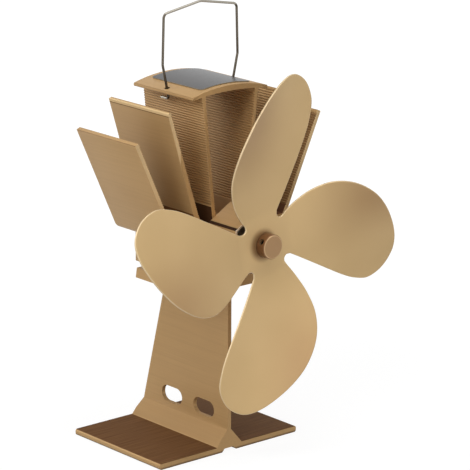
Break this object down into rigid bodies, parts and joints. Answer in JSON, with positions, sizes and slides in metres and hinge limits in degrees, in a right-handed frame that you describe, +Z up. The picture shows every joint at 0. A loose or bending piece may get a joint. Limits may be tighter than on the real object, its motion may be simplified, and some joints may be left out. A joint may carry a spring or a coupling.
{
  "type": "stove fan",
  "caption": "Heat-powered stove fan: grooved stand, finned heat sink with an arched cap, hexagonal motor housing, twisted-blade fan and wire bail handle.",
  "frame": {"origin": "on the surface it stands on, under the middle of the whole fan's box", "axes": "+X to the right seen from the front, +Y to the back, +Z up; the fan faces -Y"},
  "size_m": [0.1552, 0.0992, 0.2115],
  "materials": {
    "gold_anodised": "extruded, satin gold-bronze anodised",
    "gold_sheet": "sheet, satin gold-bronze anodised",
    "collar_bronze": "turned, bronze anodised",
    "steel_wire": "bright drawn wire",
    "zinc_steel": "zinc plated",
    "black_steel": "black oxide",
    "bimetal": "rolled strip",
    "bronze_bush": "sintered bronze",
    "copper": "bright copper",
    "lamination": "stacked sheet",
    "ferrite": "ground",
    "white_ceramic": "as fired",
    "pellet_grey": "matt",
    "cream_plastic": "moulded, heat resistant",
    "red_lead": "insulated wire",
    "black_lead": "insulated wire",
    "grey_label": "plain plate, semi-gloss"
  },
  "bodies": {
    "stand": {"base_stand": "gold_anodised", "heat_sink": "gold_anodised", "motor_housing": "gold_anodised", "motor_can": "zinc_steel", "motor_end_cap": "cream_plastic", "front_bush": "bronze_bush", "back_bush": "bronze_bush", "magnet_left": "ferrite", "magnet_right": "ferrite", "brush_left": "copper", "brush_right": "copper", "housing_screw_left": "zinc_steel", "housing_screw_right": "zinc_steel", "lead_left": "black_lead", "lead_right": "red_lead", "module_hot_plate": "white_ceramic", "module_cold_plate": "white_ceramic", "module_pellets": "pellet_grey", "clamp_screw_left": "zinc_steel", "clamp_screw_right": "zinc_steel", "clamp_bush_left": "cream_plastic", "clamp_bush_right": "cream_plastic", "label_plate": "grey_label", "strip_rivet": "zinc_steel"},
    "rotor": {"fan_blades": "gold_sheet", "hub_collar": "collar_bronze", "set_screw": "black_steel", "motor_shaft": "zinc_steel", "armature_core": "lamination", "coil_1": "copper", "coil_2": "copper", "coil_3": "copper", "commutator": "copper"},
    "handle": {"carry_handle": "steel_wire"},
    "strip": {"bimetal_strip": "bimetal"}
  },
  "joints": [
    {"name": "fan_spin", "type": "hinge", "parent": "stand", "child": "rotor", "pos_m": [0, -0.01409, 0.10565], "axis": [0, 1, 0], "continuous": true},
    {"name": "handle_rock", "type": "hinge", "parent": "stand", "child": "handle", "pos_m": [0, 0.00721, 0.17225], "axis": [1, 0, 0], "range_deg": [-12, 8]},
    {"name": "strip_bend", "type": "hinge", "parent": "stand", "child": "strip", "pos_m": [0, 0.03531, 0.0013], "axis": [1, 0, 0], "range_deg": [0, 4], "stiffness_Nm_per_rad": 0.5}
  ]
}
